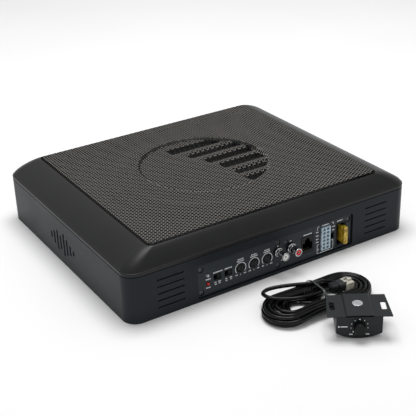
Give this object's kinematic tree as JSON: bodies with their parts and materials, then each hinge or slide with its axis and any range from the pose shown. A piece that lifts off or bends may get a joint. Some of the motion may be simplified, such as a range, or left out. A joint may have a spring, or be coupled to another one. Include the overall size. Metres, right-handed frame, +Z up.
{
  "type": "powered car subwoofer",
  "caption": "Flat under-seat powered car subwoofer with a perforated grille, a front control panel, and a wired level control with its bundled lead.",
  "frame": {"origin": "centre of the enclosure's underside, on the surface it stands on", "axes": "+Z up, +X along the enclosure's long side, to the right seen from the control panel's side; the control panel faces -Y"},
  "size_m": [0.33, 0.4192, 0.0689],
  "materials": {
    "tub_plastic": "satin",
    "cover_plastic": "fine-grained satin",
    "grille_steel": "satin",
    "panel_plastic": "fine-grained satin",
    "black_plastic": "satin",
    "black_screw": "black zinc",
    "basket_paint": "satin",
    "lens_clear": "clear",
    "lens_red": "clear",
    "chrome": "polished",
    "jack_white": "gloss",
    "jack_red": "gloss",
    "connector_plastic": "satin",
    "fuse_plastic": "clear",
    "rubber": "matte",
    "cone_paper": "matte",
    "copper_wire": "enamelled",
    "spider_cloth": "woven",
    "bare_steel": "zinc plated",
    "ferrite": "matte",
    "board_laminate": "satin",
    "heatsink_aluminium": "satin",
    "capacitor_sleeve": "gloss",
    "level_plastic": "satin",
    "label_foil": "satin",
    "lead_pvc": "gloss",
    "plug_clear": "clear"
  },
  "bodies": {
    "enclosure": {"base_tub": "tub_plastic", "top_cover": "cover_plastic", "speaker_grille": "grille_steel", "control_panel": "panel_plastic", "panel_screw_1": "black_screw", "panel_screw_2": "black_screw", "panel_screw_3": "black_screw", "panel_screw_4": "black_screw", "panel_screw_5": "black_screw", "panel_screw_6": "black_screw", "rca_screw": "black_screw", "cover_screw_1": "black_screw", "cover_screw_2": "black_screw", "cover_screw_3": "black_screw", "cover_screw_4": "black_screw", "indicator_clear": "lens_clear", "indicator_red": "lens_red", "switch_body_1": "black_plastic", "switch_body_2": "black_plastic", "trimmer_body_1": "black_plastic", "trimmer_body_2": "black_plastic", "trimmer_body_3": "black_plastic", "rca_block": "black_plastic", "rca_shell_white": "chrome", "rca_insert_white": "jack_white", "rca_shell_red": "chrome", "rca_insert_red": "jack_red", "remote_socket": "black_plastic", "power_socket": "connector_plastic", "fuse_holder": "black_plastic", "woofer_basket": "basket_paint", "woofer_surround": "rubber", "woofer_spider": "spider_cloth", "top_plate": "bare_steel", "magnet": "ferrite", "yoke": "bare_steel", "amplifier_board": "board_laminate", "heatsink_bar": "heatsink_aluminium", "supply_capacitor": "capacitor_sleeve", "supply_transformer": "copper_wire"},
    "cone_assembly": {"woofer_cone": "cone_paper", "dust_cap": "cone_paper", "voice_coil": "copper_wire"},
    "switch_slider_left": {"switch_slider_1": "black_plastic"},
    "switch_slider_right": {"switch_slider_2": "black_plastic"},
    "trimmer_left": {"trimmer_knob_1": "black_plastic"},
    "trimmer_middle": {"trimmer_knob_2": "black_plastic"},
    "trimmer_right": {"trimmer_knob_3": "black_plastic"},
    "fuse": {"blade_fuse": "fuse_plastic"},
    "level_control": {"level_housing": "level_plastic", "level_bracket": "level_plastic", "level_label": "label_foil", "level_potentiometer": "bare_steel", "lead_start": "lead_pvc", "lead_end": "lead_pvc", "lead_hank": "lead_pvc", "twist_tie": "lead_pvc", "plug_boot": "rubber", "modular_plug": "plug_clear"},
    "level_knob": {"level_knob": "black_plastic"}
  },
  "joints": [
    {"name": "cone_travel", "type": "slide", "parent": "enclosure", "child": "cone_assembly", "axis": [0, 0, 1], "range_m": [-0.005, 0.005], "stiffness_N_per_m": 2000, "deforming": ["woofer_surround", "woofer_spider"]},
    {"name": "switch_left_slide", "type": "slide", "parent": "enclosure", "child": "switch_slider_left", "axis": [1, 0, 0], "range_m": [-0.004, 0]},
    {"name": "switch_right_slide", "type": "slide", "parent": "enclosure", "child": "switch_slider_right", "axis": [1, 0, 0], "range_m": [-0.004, 0]},
    {"name": "trimmer_left_turn", "type": "hinge", "parent": "enclosure", "child": "trimmer_left", "pos_m": [-0.0434, -0.135, 0.0201], "axis": [0, 1, 0], "range_deg": [-140, 140]},
    {"name": "trimmer_middle_turn", "type": "hinge", "parent": "enclosure", "child": "trimmer_middle", "pos_m": [-0.028, -0.135, 0.0201], "axis": [0, 1, 0], "range_deg": [-140, 140]},
    {"name": "trimmer_right_turn", "type": "hinge", "parent": "enclosure", "child": "trimmer_right", "pos_m": [-0.0126, -0.135, 0.0201], "axis": [0, 1, 0], "range_deg": [-140, 140]},
    {"name": "fuse_pull", "type": "slide", "parent": "enclosure", "child": "fuse", "axis": [0, -1, 0], "range_m": [0, 0.018]},
    {"name": "level_control_lift", "type": "slide", "parent": "enclosure", "child": "level_control", "axis": [0, 0, 1], "range_m": [0, 0.1]},
    {"name": "level_knob_turn", "type": "hinge", "parent": "level_control", "child": "level_knob", "pos_m": [-0.0082, -0.2662, 0.0124], "axis": [-0.5446, -0.8387, 0], "range_deg": [-140, 140]}
  ]
}
